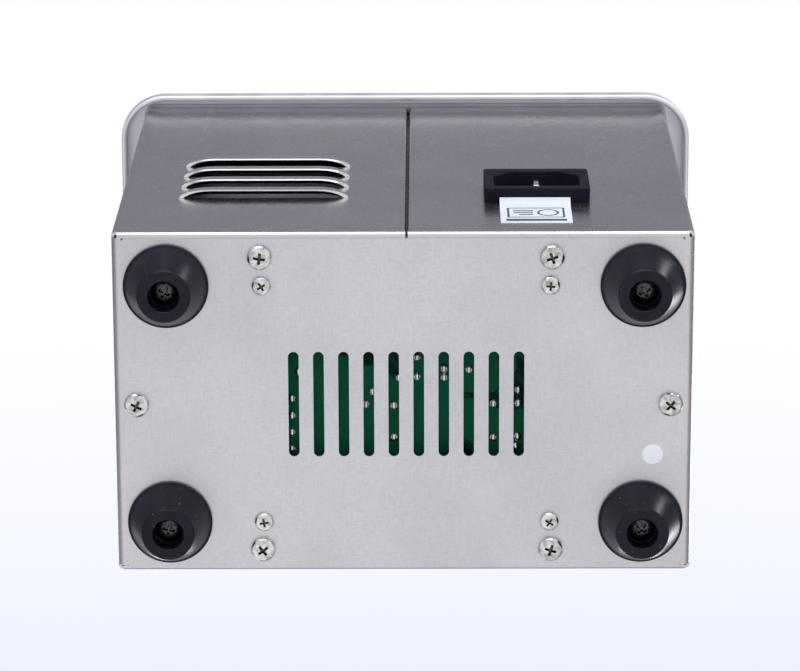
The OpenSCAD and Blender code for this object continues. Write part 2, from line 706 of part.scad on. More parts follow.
// ---------------------------------------------------------------- control panel

// Moulded fascia with bosses that reach through the wall to the control board
module front_fascia() color([0.13, 0.15, 0.20]) difference() {
    union() {
        translate([0, front_y, fascia_z]) front_panel(fascia_w, fascia_h, 6, fascia_t);
        for (x = [-1, 1], z = [-1, 1])
            translate([control_x + x * boss_dx, control_y, fascia_z + z * boss_dz])
                rotate([90, 0, 0]) cylinder(r = boss_r, h = boss_len, $fn = 48);
    }
    translate([window_x, front_y - fascia_t + 1.2, window_z]) front_panel(window_w, window_h, 2, 2);
    translate([window_x, front_y + 1, window_z]) front_panel(window_w - 4, window_h - 4, 1, 4);
    for (i = [-1:1]) translate([window_x + i * button_pitch, front_y + 1, button_z])
        rotate([90, 0, 0]) cylinder(r = button_r + 0.3, h = fascia_t + 2, $fn = 64);
    translate([rocker_x, front_y + 1, rocker_z])
        front_panel(rocker_body_w + 0.2, rocker_body_h + 0.2, 0.5, fascia_t + 2);
    for (x = [-1, 1], z = [-1, 1])
        translate([control_x + x * boss_dx, control_y + 1, fascia_z + z * boss_dz])
            rotate([90, 0, 0]) cylinder(r = 1.1, h = 9, $fn = 32);
}

module display_window() color([0.30, 0.04, 0.05]) translate([window_x, front_y - fascia_t + 1.2, window_z])
    front_panel(window_w - 0.3, window_h - 0.3, 1.8, 1.2);

// Four-digit display standing on the control board
module display_module() color([0.10, 0.10, 0.11]) translate([window_x, control_y, window_z])
    front_panel(window_w - 8, window_h - 5, 0.5, boss_len - 1.4);

module control_board() color([0.06, 0.32, 0.19]) translate([0, control_y + board_t, 0])
    rotate([90, 0, 0]) linear_extrude(board_t) difference() {
        translate([control_x, fascia_z]) rounded_rect(control_w, control_h, 1);
        for (x = [-1, 1], z = [-1, 1])
            translate([control_x + x * boss_dx, fascia_z + z * boss_dz]) circle(1.3, $fn = 32);
    }

module tact_switches() color([0.16, 0.16, 0.17]) for (i = [-1:1])
    translate([window_x + i * button_pitch, control_y, button_z]) difference() {
        front_panel(6.2, 6.2, 0.4, 3.6);
        translate([0, -1.4, 0]) rotate([90, 0, 0]) cylinder(r = 2, h = 4, $fn = 32);
    }

module control_screws() color([0.78, 0.78, 0.8]) for (x = [-1, 1], z = [-1, 1])
    translate([control_x + x * boss_dx, control_y + board_t, fascia_z + z * boss_dz])
        rotate([90, 0, 0]) pan_screw(2.3, 1.6, 1.05, 8, 20);

// Push button: domed cap, retaining flange behind the fascia, and stem down to its switch
module button(i) color([0.78, 0.79, 0.82]) translate([window_x + i * button_pitch, front_y, button_z])
    rotate([90, 0, 0]) rotate_extrude($fn = 64) polygon(concat(
        [[0, -boss_len + 2.9], [1.6, -boss_len + 2.9], [1.6, -1.4], [button_r + 0.9, -1.4],
            [button_r + 0.9, -0.3], [button_r, -0.3]],
        arc(button_r - 0.8, fascia_t + 0.7, 0.8, 0, 70, 5),
        [[0, fascia_t + 1.7]]));

module rocker_housing() color([0.06, 0.06, 0.07]) difference() {
    union() {
        translate([rocker_x, front_y - fascia_t, rocker_z]) front_panel(15.4, 21.4, 1.6, 1.6);
        translate([rocker_x, front_y + rocker_depth, rocker_z])
            front_panel(rocker_body_w, rocker_body_h, 0.4, rocker_depth + fascia_t);
    }
    translate([rocker_x, front_y + 6, rocker_z]) front_panel(11.2, 17.4, 0.3, 12);
    translate([rocker_x - 6.3, rocker_axis_y, rocker_z]) rotate([0, 90, 0])
        cylinder(r = 1.25, h = 12.6, $fn = 32);
}

// Rocker in its off position: the lower half pressed, on stub pivots in the housing's sides
module rocker() color([0.08, 0.08, 0.09]) translate([rocker_x, rocker_axis_y, rocker_z])
    rotate([rocker_tilt, 0, 0]) {
        rotate([90, 0, 90]) linear_extrude(10.4, center = true) polygon([
            [-4.1, -rocker_half], [-3.5, -rocker_half + 2.4], [-3.1, 0], [-3.5, rocker_half - 2.4],
            [-4.1, rocker_half], [0.6, rocker_half - 0.6], [3, 2.6], [3, -2.6], [0.6, -rocker_half + 0.6]]);
        rotate([0, 90, 0]) cylinder(r = 1.2, h = 12.4, center = true, $fn = 32);
    }

module rocker_terminals() color([0.84, 0.70, 0.40]) for (z = [-5, 5])
    translate([rocker_x, front_y + rocker_depth, rocker_z + z]) block([-2.4, 0, -0.4], [2.4, 8, 0.4]);

// ---------------------------------------------------------------- leads

module mains_leads() color([0.45, 0.22, 0.10]) {
    wire(line_route, 1);
    wire(switched_route, 1);
    wire(neutral_route, 1);
}
module earth_lead() color([0.40, 0.60, 0.15]) wire(earth_route, 1);
module transducer_leads() color([0.65, 0.08, 0.08]) {
    wire(hot_route, 0.8);
    wire(cold_route, 0.8);
}

// Flat cable from the generator board's header up to the back of the control board
module ribbon_cable() color([0.60, 0.60, 0.63]) translate([-5, 0, 0]) rotate([90, 0, 90]) linear_extrude(10)
    polygon([[-36, board_top + 7.6], [-35.1, board_top + 7.6], [-33.4, 33], [-33.4, 39],
        [control_y + board_t + 1.9, 43], [control_y + board_t, 43], [control_y + board_t, 42.1],
        [control_y + board_t + 1.5, 42.1], [-34.3, 38.6], [-34.3, 33.4]]);

// ---------------------------------------------------------------- basket and lid

// Woven mesh pan of the basket, as a plain thin shell
module basket_mesh() color([0.74, 0.74, 0.76]) translate([0, 0, basket_low]) difference() {
    linear_extrude(basket_high - basket_low) rounded_rect(basket_w, basket_d, basket_r);
    translate([0, 0, 1]) linear_extrude(60) rounded_rect(basket_w - 2, basket_d - 2, basket_r - 1);
}

// Rim wire, carrying handles and feet of the basket
module basket_frame() color([0.82, 0.82, 0.84]) {
    out = basket_r + basket_wire;
    translate([0, 0, basket_high - 2]) sweep_round(basket_w / 2 - basket_r, basket_d / 2 - basket_r)
        translate([out, 0]) circle(basket_wire, $fn = 24);
    for (s = [-1, 1]) translate([s * (basket_w / 2 + basket_wire), 0, basket_high - 2]) {
        for (y = [-14, 14]) translate([0, y, 0]) cylinder(r = basket_wire, h = 18, $fn = 24);
        for (y = [-1, 1]) translate([0, y * 10, 18]) rotate([90, 0, y > 0 ? 90 : -90]) rotate_extrude(
            angle = 90, $fn = 48) translate([4, 0]) circle(basket_wire, $fn = 24);
        translate([0, -10, 22]) rotate([-90, 0, 0]) cylinder(r = basket_wire, h = 20, $fn = 24);
    }
    for (x = [-1, 1], y = [-1, 1]) translate([x * 48, y * 20, tank_floor + 0.2])
        cylinder(r = 2, h = basket_low - tank_floor - 0.2, $fn = 24);
}

// Side of the lid: brim on the rim, up over the shoulder to the flat top
lid_outline = concat(
    [[lid_brim, 0], [lid_brim, sheet]],
    arc(lid_wall + 2, sheet + 2, 2, 270, 180, 5),
    arc(lid_wall - 3, lid_h - 3, 3, 0, 90, 6),
    arc(lid_wall - 3, lid_h - 3, 3 - sheet, 90, 0, 6),
    arc(lid_wall + 2, sheet + 2, 2 + sheet, 180, 270, 5));

// Pressed lid with a welded drip skirt that hangs inside the tank
module lid() color([0.82, 0.82, 0.84]) translate([0, 0, lid_z]) {
    sweep_round(lid_cx, lid_cy) polygon(lid_outline);
    flat = lid_wall - 3;
    difference() {
        translate([0, 0, lid_h - sheet]) linear_extrude(sheet)
            rounded_rect(2 * (lid_cx + flat), 2 * (lid_cy + flat), flat);
        cylinder(r = 2.2, h = 20, $fn = 32);
    }
    translate([0, 0, -lid_skirt]) linear_extrude(lid_skirt + lid_h - sheet) difference() {
        rounded_rect(tank_w - 3, tank_d - 3, tank_r - 1.5);
        rounded_rect(tank_w - 3 - 2 * sheet, tank_d - 3 - 2 * sheet, tank_r - 1.5 - sheet);
    }
}

module lid_knob() color([0.08, 0.08, 0.09]) translate([0, 0, lid_z + lid_h]) difference() {
    rotate_extrude($fn = 96) polygon(concat(
        [[0, 0], [8, 0], [8, 1.2], [6.4, 4], [6.4, 7]],
        arc(11, 12, 2.4, 300, 360, 4), arc(10.4, 15, 3, 0, 70, 5), [[0, 19]]));
    translate([0, 0, -1]) cylinder(r = 2, h = 12, $fn = 32);
}
module lid_screw() color([0.78, 0.78, 0.8]) translate([0, 0, lid_z + lid_h - sheet])
    pan_screw(3.8, 2.2, 1.95, 10, 10);

// ---------------------------------------------------------------- drawing

casing_wrap();
base_plate();
foot(0);  // foot_front_left
foot(2);  // foot_front_right
foot(1);  // foot_back_left
foot(3);  // foot_back_right
foot_screws();
foot_nuts();
base_screws();
board_screws();
board_spacers();
board_nuts();
power_board();
transformer_core();
transformer_winding();
tuning_inductor();
bulk_capacitor();
film_capacitors();
heat_sink();
power_transistors();
bridge_rectifier();
mains_fuse();
fuse_clips();
board_connectors();
inlet_socket();
inlet_pins();
rear_label();
inspection_sticker();
earth_stud();
earth_nut();
earth_terminal();
tank();
tank_seal();
transducer_bond();
transducer_front_mass();
piezo_rings();
electrode_plates();
transducer_back_mass();
transducer_bolt();
front_fascia();
display_window();
display_module();
control_board();
tact_switches();
control_screws();
button(-1);  // button_time_down
button(0);  // button_start
button(1);  // button_time_up
rocker_housing();
rocker();
rocker_terminals();
mains_leads();
earth_lead();
transducer_leads();
ribbon_cable();
basket_mesh();
basket_frame();
lid();
lid_knob();
lid_screw();
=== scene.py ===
"""A benchtop ultrasonic cleaner: casing, feet and screws, generator board, mains inlet,
control panel, tank, transducer, basket and lid. Metres, +Z up, front at -Y."""

import math

import bmesh
import bpy
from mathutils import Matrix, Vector


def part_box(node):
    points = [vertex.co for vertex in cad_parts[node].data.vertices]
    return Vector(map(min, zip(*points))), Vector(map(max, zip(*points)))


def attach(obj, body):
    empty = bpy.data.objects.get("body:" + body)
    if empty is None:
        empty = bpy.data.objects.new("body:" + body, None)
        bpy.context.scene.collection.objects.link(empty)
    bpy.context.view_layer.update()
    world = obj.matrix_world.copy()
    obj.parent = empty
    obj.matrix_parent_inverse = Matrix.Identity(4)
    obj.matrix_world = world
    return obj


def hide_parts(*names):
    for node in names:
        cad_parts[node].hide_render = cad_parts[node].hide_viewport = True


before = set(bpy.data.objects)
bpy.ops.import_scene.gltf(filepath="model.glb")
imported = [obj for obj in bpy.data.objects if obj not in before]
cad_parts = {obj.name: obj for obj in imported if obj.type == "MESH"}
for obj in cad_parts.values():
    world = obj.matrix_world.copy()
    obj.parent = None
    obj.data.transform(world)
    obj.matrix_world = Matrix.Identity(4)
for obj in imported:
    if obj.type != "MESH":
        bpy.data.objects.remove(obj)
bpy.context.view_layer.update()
scene = bpy.context.scene

# Camera: below and behind the cleaner, looking up along it, with a long lens, so that
# the base plate faces it and the back wall shows at a shallow angle.
bpy.ops.object.camera_add(location=(-0.00606, 0.33777, -1.09212))
camera = bpy.context.object
camera.name = "camera"
camera.rotation_euler = (
    math.radians(163.943),
    math.radians(-0.299),
    math.radians(-179.786),
)
camera.data.sensor_width = 36
camera.data.lens = 185.594
camera.data.clip_start = 0.05
camera.data.clip_end = 40
scene.camera = camera


# Studio room: a white sweep below and around, and grey flags overhead and high at the sides
# so that metal has something darker to reflect. The camera itself sees plain white, with a
# faint cool cast low in its view from below.
def linear(hex_colour):
    """An sRGB hex colour as linear RGBA."""
    parts = [int(hex_colour[i : i + 2], 16) / 255 for i in (1, 3, 5)]
    return tuple(
        c / 12.92 if c <= 0.04045 else ((c + 0.055) / 1.055) ** 2.4 for c in parts
    ) + (1,)


def add(tree, kind, values=None, links=None, stops=None, **settings):
    """Adds a node with its settings, input values, incoming links and ramp stops."""
    made = tree.nodes.new(kind)
    for name, setting in settings.items():
        setattr(made, name, setting)
    for socket, value in (values or {}).items():
        made.inputs[socket].default_value = value
    for socket, source in (links or {}).items():
        tree.links.new(source, made.inputs[socket])
    for place, (at, colour) in enumerate(stops or []):
        ramp = made.color_ramp.elements
        stop = ramp[place] if place < 2 else ramp.new(at)
        stop.position = at
        stop.color = linear(colour)
    return made


def compute(tree, operation, *terms):
    """One step of arithmetic on sockets and plain numbers."""
    made = add(tree, "ShaderNodeMath", operation=operation)
    for socket, term in zip(made.inputs, terms):
        if isinstance(term, (int, float)):
            socket.default_value = term
        else:
            tree.links.new(term, socket)
    return made.outputs[0]


def span(tree, value, low, high, first=0.0, last=1.0, **settings):
    """Takes a value between low and high to one between first and last."""
    ends = {"From Min": low, "From Max": high, "To Min": first, "To Max": last}
    return add(tree, "ShaderNodeMapRange", ends, {"Value": value}, **settings).outputs[0]


def mix(tree, share, first, second):
    """Goes from one colour to another by a share. A colour is a socket or an sRGB hex."""
    made = add(tree, "ShaderNodeMix", links={0: share}, data_type="RGBA")
    for socket, colour in ((made.inputs[6], first), (made.inputs[7], second)):
        if isinstance(colour, str):
            socket.default_value = linear(colour)
        else:
            tree.links.new(colour, socket)
    return made.outputs[2]


def tones(tree, value, *stops):
    """Colours along a value, each stop a place and an sRGB hex."""
    return add(tree, "ShaderNodeValToRGB", links={0: value}, stops=stops).outputs[0]


scene.view_settings.view_transform = "Standard"
room = bpy.data.worlds.new("studio room")
room.use_nodes = True
scene.world = room
tree = room.node_tree
tree.nodes.clear()
way = add(tree, "ShaderNodeTexCoord").outputs["Generated"]
x, y, z = add(tree, "ShaderNodeSeparateXYZ", links={0: way}).outputs
either_side = add(
    tree,
    "ShaderNodeCombineXYZ",
    links={0: compute(tree, "ABSOLUTE", x), 1: y, 2: z},
)
to_the_flags = (0.42, -0.12, 0.8)
lean = add(
    tree,
    "ShaderNodeVectorMath",
    {1: to_the_flags},
    {0: either_side.outputs[0]},
    operation="DOT_PRODUCT",
)
flags = tones(
    tree,
    lean.outputs["Value"],
    (0, "#F4F4F6"),
    (0.15, "#CFCED5"),
    (0.35, "#B4B3BB"),
    (0.65, "#96959E"),
    (0.8, "#8E8D96"),
)
cast_from, cast_to, looking_up = -0.275, -0.355, 0.9
cool_cast = compute(
    tree,
    "MULTIPLY",
    span(tree, y, cast_from, cast_to),
    compute(tree, "GREATER_THAN", z, looking_up),
)
backdrop = mix(tree, cool_cast, "#FFFFFF", "#EEF2FE")
camera_ray = add(tree, "ShaderNodeLightPath").outputs["Is Camera Ray"]
seen = mix(tree, camera_ray, flags, backdrop)
glow = add(tree, "ShaderNodeBackground", {"Strength": 1}, {0: seen})
add(tree, "ShaderNodeOutputWorld", links={0: glow.outputs[0]})

# Floor: a pale painted board under the feet, which fades into the room's white further out.
# It is clear from below and only the camera sees it, so light reaches the base plate.
bpy.ops.mesh.primitive_plane_add(size=2.8, location=(0, 0, -0.0002))
floor = bpy.context.object
floor.name = "floor"


def surface(name, **values):
    """A material on one Principled shader, its constant values on the shader's sockets."""
    made = bpy.data.materials.new(name)
    made.use_nodes = True
    shader = made.node_tree.nodes["Principled BSDF"]
    for socket, value in values.items():
        if isinstance(value, str):
            value = linear(value)
        shader.inputs[socket.replace("_", " ")].default_value = value
    return made, made.node_tree, shader


pale, tree, paint = surface("pale painted board", Base_Color="#F1F1F3", Roughness=0.7)
place = add(tree, "ShaderNodeTexCoord").outputs["Object"]
away = add(tree, "ShaderNodeVectorMath", links={0: place}, operation="LENGTH").outputs["Value"]
fade_from, fade_to = 0.3, 1.2
fade = span(tree, away, fade_from, fade_to, interpolation_type="SMOOTHSTEP")
below = add(tree, "ShaderNodeNewGeometry").outputs["Backfacing"]
clear = add(tree, "ShaderNodeBsdfTransparent")
board = add(
    tree,
    "ShaderNodeMixShader",
    links={0: compute(tree, "MAXIMUM", below, fade), 1: paint.outputs[0], 2: clear.outputs[0]},
)
tree.links.new(board.outputs[0], tree.nodes["Material Output"].inputs[0])
floor.data.materials.append(pale)
for ray in ("diffuse", "glossy", "transmission", "shadow"):
    setattr(floor, "visible_" + ray, False)

# Soft boxes: a key from the upper front left, a fill from the front right, a wide one
# straight behind the back wall, and two narrow ones, high at the back left and above the
# front. Each has a place, a width and a height in metres, and a power in watts.
soft_boxes = [
    ("key", (-0.9, -1.1, 1.4), 1.0, 1.0, 24),
    ("fill", (1.0, -1.35, 0.9), 1.4, 1.4, 7),
    ("back", (0.1, 1.5, 0.0), 1.3, 1.1, 12),
    ("strip left", (-1.12, 0.85, 0.78), 0.32, 0.8, 6),
    ("strip right", (0.42, -0.9, 1.3), 0.35, 0.6, 5),
]
lamps_aim = Vector((0, 0, 0.05))
for name, place, across, tall, power in soft_boxes:
    bpy.ops.object.light_add(type="AREA", location=place)
    lamp = bpy.context.object
    lamp.name = name
    lamp.data.shape = "RECTANGLE"
    lamp.data.size = across
    lamp.data.size_y = tall
    lamp.data.energy = power
    lamp.visible_camera = False
    beam = lamps_aim - Vector(place)
    lamp.rotation_euler = beam.to_track_quat("-Z", "Y").to_euler()

# Casing wrap: one sheet of linen-rolled stainless steel, folded round and closed by the
# seam in the back wall. Its dashes break up the shine, and the folded sheet waves a little.
MM = 0.001


def cover(material, *names):
    """Gives CAD nodes a material."""
    for name in names:
        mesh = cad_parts[name].data
        mesh.materials.clear()
        mesh.materials.append(material)


def noise(tree, size, detail):
    """Noise fixed to the piece, its spots so many millimetres wide."""
    place = add(tree, "ShaderNodeTexCoord").outputs["Object"]
    values = {"Scale": 1 / (size * MM), "Detail": detail}
    return add(tree, "ShaderNodeTexNoise", values, {0: place}).outputs[0]


def bump(tree, height, strength, depth, under=None):
    """Relief so many millimetres deep, over another relief where one is given."""
    links = {"Height": height} if under is None else {"Height": height, "Normal": under}
    values = {"Strength": strength, "Distance": depth * MM}
    return add(tree, "ShaderNodeBump", values, links).outputs[0]


def drive(tree, shader, **sources):
    """Links a source to each of the shader's named sockets."""
    for name, source in sources.items():
        tree.links.new(source, shader.inputs[name.replace("_", " ")])


def linen_steel(name, light_tone, dark_tone, rough, wave, relief, contrast):
    """Stainless sheet with a linen pattern rolled in: 2.2 mm dashes both ways, 0.6 mm
    apart, over soft 30 mm waves in the sheet that bend its reflections. Lips that stand out
    of the back wall and face down are painted near white as a painted highlight, and the
    faces in the seam's gap are painted near black as painted shade."""
    made, tree, shader = surface(name, Metallic=1.0)
    place = add(tree, "ShaderNodeTexCoord").outputs["Object"]
    dash, gap = 2.2 * MM, 0.6 * MM
    rows = []
    for across, along in ((dash, gap), (gap, dash)):
        stretch = {"Scale": (1 / across, 1 / along, 1 / along)}
        stretched = add(tree, "ShaderNodeMapping", stretch, {0: place}).outputs[0]
        row = add(tree, "ShaderNodeTexNoise", {"Scale": 1, "Detail": 1}, {0: stretched})
        rows.append(row.outputs[0])
    linen = compute(tree, "MAXIMUM", *rows)
    cloud = noise(tree, 30, 2)
    tone = tones(tree, cloud, (0.35, dark_tone), (0.65, light_tone))
    shade = span(tree, linen, 0.4, 0.75, 1 - 0.07 * contrast, 1 + 0.05 * contrast)
    rolled = add(
        tree,
        "ShaderNodeVectorMath",
        links={0: tone, "Scale": shade},
        operation="SCALE",
    ).outputs[0]

    x, y, z = add(tree, "ShaderNodeSeparateXYZ", links={0: place}).outputs
    normal = add(tree, "ShaderNodeNewGeometry").outputs["True Normal"]
    upward = add(tree, "ShaderNodeSeparateXYZ", links={0: normal}).outputs["Z"]
    wall_y = 49.5
    # Painted highlight: the lips that stand out of the back wall are mixed to near white where
    # they face down.
    proud = compute(tree, "GREATER_THAN", y, (wall_y + 0.1) * MM)
    lip = compute(tree, "MULTIPLY", proud, compute(tree, "LESS_THAN", upward, -0.9))
    lip_highlighted = mix(tree, lip, rolled, "#FDFDFE")

    # Painted shade: the faces inside the seam's gap, back from the wall's outer face, are painted
    # near black.
    seam_x, seam_half, seam_low, seam_deep = -1, 0.42, 13, 44
    seam_shade = compute(tree, "COMPARE", x, seam_x * MM, seam_half * MM)
    for within in (
        compute(tree, "GREATER_THAN", z, seam_low * MM),
        span(tree, y, seam_deep * MM, (seam_deep + 0.4) * MM),
        span(tree, y, (wall_y - 0.2) * MM, (wall_y - 0.6) * MM),
    ):
        seam_shade = compute(tree, "MULTIPLY", seam_shade, within)
    drive(
        tree,
        shader,
        Base_Color=mix(tree, seam_shade, lip_highlighted, "#08080A"),
        Roughness=span(tree, linen, 0.4, 0.75, rough - 0.05 * contrast, rough + 0.06 * contrast),
        Normal=bump(tree, linen, 0.6, relief, bump(tree, cloud, 1, wave)),
    )
    return made


wrap_steel = linen_steel(
    "linen-rolled stainless", "#D2CFD1", "#CAC7CA", 0.24, 0.035, 0.0002, 0.6
)
cover(wrap_steel, "casing_wrap")

# Base plate: the same steel, flatter and duller, punched with ten vent slots and screwed
# up under the wrap's flanges.
plate_steel = linen_steel("dull linen stainless", "#D4D3D7", "#CCCBD0", 0.42, 0.04, 0.04, 1)
cover(plate_steel, "base_plate")

# Feet: four cones of moulded black rubber, satin on their sides, with dust in the pores.
rubber, tree, shader = surface(
    "moulded black rubber", Roughness=0.34, Specular_IOR_Level=0.2, IOR=1.52
)
bloom = tones(tree, noise(tree, 7, 4), (0.35, "#0C0F1A"), (0.7, "#131623"))
dust = span(tree, noise(tree, 0.7, 2), 0.72, 0.78, 0, 0.7)
drive(
    tree,
    shader,
    Base_Color=mix(tree, dust, bloom, "#A9AAB6"),
    Normal=bump(tree, noise(tree, 0.35, 2), 0.5, 0.008),
)
cover(rubber, "foot_front_left", "foot_front_right", "foot_back_left", "foot_back_right")

# Screws: pan heads with a cross recess, driven up through the feet, the plate's edge and the
# board's spacers. Each stops at its own angle. Those in the feet get a near-black steel as
# painted shade for their deep holes, and the others glint with nickel plate. Every cross
# recess gets a darker steel as painted shade.


def only(piece):
    """Selects one piece and nothing else."""
    bpy.ops.object.select_all(action="DESELECT")
    piece.select_set(True)
    bpy.context.view_layer.objects.active = piece


def pick(piece, kind, rule):
    """Selects the faces, edges or vertices that a rule picks, with the piece in edit mode."""
    mode = {"faces": "FACE", "edges": "EDGE", "verts": "VERT"}[kind]
    bpy.ops.mesh.select_mode(type=mode)
    bpy.ops.mesh.select_all(action="DESELECT")
    shape = bmesh.from_edit_mesh(piece.data)
    for item in getattr(shape, kind):
        if rule(item):
            item.select_set(True)
    bmesh.update_edit_mesh(piece.data)


def extrude(x, y, z):
    """Pulls the selection out by a vector."""
    bpy.ops.mesh.extrude_region_move(TRANSFORM_OT_translate={"value": (x, y, z)})


def scale(x, y=None, z=1.0):
    """Scales the selection about its middle."""
    bpy.ops.transform.resize(value=(x, x if y is None else y, z))


def join(pieces, name):
    """Joins pieces into one object with that name."""
    only(pieces[0])
    for piece in pieces[1:]:
        piece.select_set(True)
    if len(pieces) > 1:
        bpy.ops.object.join()
    pieces[0].name = name
    return pieces[0]


def copy_to(piece, place, turn=0.0, axis="Z"):
    """A copy with its own mesh, turned and moved, its place applied."""
    only(piece)
    bpy.ops.object.duplicate()
    made = bpy.context.object
    made.rotation_euler["XYZ".index(axis)] = turn
    made.location = place
    bpy.ops.object.transform_apply(location=True, rotation=True, scale=True)
    return made


def settle(piece, body, slot, material, *replaced):
    only(piece)
    bpy.ops.object.transform_apply(location=True, rotation=True, scale=True)
    if material is not None:
        piece.data.materials.clear()
        piece.data.materials.append(material)
    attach(piece, body)
    for name in replaced:
        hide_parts(name)
    return piece


def pan_screw(head_r, head_h, shank_r, length, plating, recess):
    """A pan-head screw with a cross recess, head down, its seat at the origin."""
    rim_share, root_share, pitch = 0.35, 0.86, 0.7 * MM
    rim = rim_share * head_h
    bpy.ops.mesh.primitive_cylinder_add(
        vertices=48, radius=head_r, depth=rim, location=(0, 0, -rim / 2)
    )
    screw = bpy.context.object
    for material in (plating, recess):
        screw.data.materials.append(material)
    bpy.ops.object.transform_apply(location=True, rotation=False, scale=False)
    bpy.ops.object.mode_set(mode="EDIT")
    pick(screw, "faces", lambda f: f.normal.z < -0.9)
    radius, depth = head_r, rim
    for angle in range(12, 85, 12):
        new_radius = head_r * math.cos(math.radians(angle)) ** 0.85
        crown = (1 - rim_share) * math.sin(math.radians(angle))
        new_depth = head_h * (rim_share + crown)
        extrude(0, 0, depth - new_depth)
        scale(new_radius / radius)
        radius, depth = new_radius, new_depth
    pick(screw, "faces", lambda f: f.normal.z > 0.9)
    bpy.ops.mesh.inset(thickness=head_r - shank_r * root_share)
    turns = int(length / pitch)
    for _ in range(turns):
        extrude(0, 0, length / turns / 2)
        scale(1 / root_share)
        extrude(0, 0, length / turns / 2)
        scale(root_share)
    bpy.ops.object.mode_set(mode="OBJECT")
    for turn in (0, 90):
        bpy.ops.mesh.primitive_cube_add(size=1)
        blade = bpy.context.object
        blade.scale = (1.15 * head_r, 0.27 * head_r, head_h)
        blade.location = (0, 0, -0.88 * head_h)
        bpy.ops.object.transform_apply(location=True, rotation=False, scale=True)
        bpy.ops.object.mode_set(mode="EDIT")
        pick(blade, "faces", lambda f: f.normal.z > 0.9)
        scale(0.6, 0.55)
        bpy.ops.object.mode_set(mode="OBJECT")
        # The recess faces take the second material, a darker steel that paints the recess's
        # shade.
        for _ in screw.data.materials:
            blade.data.materials.append(None)
        recess_slot = 1
        for face in blade.data.polygons:
            face.material_index = recess_slot
        blade.rotation_euler.z = math.radians(turn)
        bpy.ops.object.transform_apply(location=False, rotation=True, scale=False)
        only(screw)
        cut = screw.modifiers.new("recess", "BOOLEAN")
        cut.operation = "DIFFERENCE"
        cut.object = blade
        bpy.ops.object.modifier_apply(modifier="recess")
        bpy.data.objects.remove(blade)
    worn_edge = screw.modifiers.new("screw edge bevel", "BEVEL")
    worn_edge.width = 0.07 * MM
    worn_edge.segments = 2
    worn_edge.limit_method = "ANGLE"
    worn_edge.angle_limit = math.radians(50)
    bpy.ops.object.modifier_apply(modifier="screw edge bevel")
    bpy.ops.object.shade_smooth_by_angle(angle=math.radians(35))
    return screw


def metal(name, light_tone, dark_tone, low_blur, high_blur, spot, dent=0.02):
    """A bare or plated metal whose tone, blur and dents change over spots of one size."""
    made, tree, shader = surface(name, Metallic=1.0)
    stain = noise(tree, spot, 4)
    drive(
        tree,
        shader,
        Base_Color=tones(tree, stain, (0.3, dark_tone), (0.6, light_tone)),
        Roughness=span(tree, stain, 0.25, 0.75, low_blur, high_blur),
        Normal=bump(tree, stain, 0.4, dent),
    )
    return made


nickel = metal("bright nickel plate", "#E8E6E3", "#A09E9C", 0.08, 0.26, 1.6)
# Painted shade: the cross recesses get this darker steel.
recess_shade_steel = metal("recess steel darkened as painted shade", "#6E6C6B", "#2A2929", 0.25, 0.5, 0.4)
# Painted shade: the screws deep in the feet's holes get this near-black steel.
hole_shade_steel = metal("steel darkened as painted shade in the foot holes", "#5A5A5E", "#1C1C1F", 0.15, 0.4, 0.8)

foot_left, foot_right, foot_y = -66.7, 65.9, 34.5
plate_left, plate_right, plate_y = -41.4, 39.8, 42.65
board_left, board_right, board_y = -41, 39.4, 34.5
base_z = 12.0
foot_places = [
    (foot_left, -foot_y, 38),
    (foot_right, -foot_y, 12),
    (foot_left, foot_y, 64),
    (foot_right, foot_y, 27),
]
plate_places = [
    (plate_left, -plate_y, 18),
    (plate_right, -plate_y, 52),
    (plate_left, plate_y, 71),
    (plate_right, plate_y, 8),
    (-74.7, 0, 40),
    (74.7, 0, 27),
]
board_places = [
    (board_left, -board_y, 33),
    (board_right, -board_y, 80),
    (board_left, board_y, 5),
    (board_right, board_y, 58),
]
for name, node, sizes, plating, seat_z, places in (
    ("foot_screw_set", "foot_screws", (3.7, 2.2, 1.9, 10.2), hole_shade_steel, 6.8, foot_places),
    ("plate_screw_set", "base_screws", (3.5, 2.2, 1.65, 6), nickel, base_z, plate_places),
    ("board_screw_set", "board_screws", (2.7, 1.8, 1.45, 10.6), nickel, base_z, board_places),
):
    screw = pan_screw(*(size * MM for size in sizes), plating, recess_shade_steel)
    made = [
        copy_to(screw, (x * MM, y * MM, seat_z * MM), math.radians(turn))
        for x, y, turn in places
    ]
    bpy.data.objects.remove(screw)
    settle(join(made, name), "root", "plated_screws", None, node)
cover(nickel, "foot_nuts", "board_nuts", "control_screws", "earth_nut", "earth_stud", "lid_screw")

# Generator board: glass epoxy under a green solder mask. Tracks show through the mask as
# lighter lines, and the parts' leads end in domed solder joints on the underside.
mask, tree, shader = surface("green solder mask", Roughness=0.3, Specular_IOR_Level=0.04)
place = add(tree, "ShaderNodeTexCoord").outputs["Object"]
cells = add(
    tree,
    "ShaderNodeTexVoronoi",
    {"Scale": 1 / (13 * MM), "Randomness": 0.8},
    {0: place},
    distance="MANHATTAN",
    feature="F1",
).outputs
track = span(tree, compute(tree, "PINGPONG", cells["Distance"], 0.4), 0.3, 0.34, 0, 0.35)
pour = compute(tree, "GREATER_THAN", cells["Color"], 0.33)
copper_under = compute(tree, "MAXIMUM", track, pour)
drive(
    tree,
    shader,
    Base_Color=mix(tree, copper_under, "#04322A", "#0D6647"),
    Normal=bump(tree, copper_under, 0.6, 0.035),
)
cover(mask, "power_board", "control_board")

